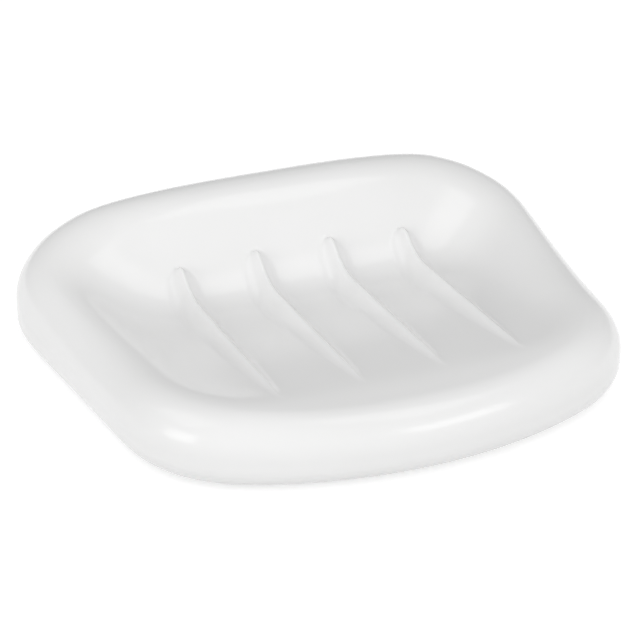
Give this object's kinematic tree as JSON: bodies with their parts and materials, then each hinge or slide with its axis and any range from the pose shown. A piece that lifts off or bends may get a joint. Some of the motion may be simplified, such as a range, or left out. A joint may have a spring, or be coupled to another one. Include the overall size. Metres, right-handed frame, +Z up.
{
  "type": "soap dish",
  "caption": "Free-standing glazed soap dish with a soft rolled rim, a raised back, a dipped front lip and tapering drain ribs on its tray floor.",
  "frame": {"origin": "centre of the dish's plan, on the surface that its feet stand on", "axes": "+X along the width, +Y towards the raised back, +Z up"},
  "size_m": [0.1298, 0.1099, 0.0299],
  "materials": {
    "glaze": "gloss white glaze",
    "pad": "matt pale grey"
  },
  "bodies": {
    "root": {"dish_body": "glaze", "foot_front_left": "pad", "foot_front_right": "pad", "foot_rear_left": "pad", "foot_rear_right": "pad"}
  },
  "joints": []
}
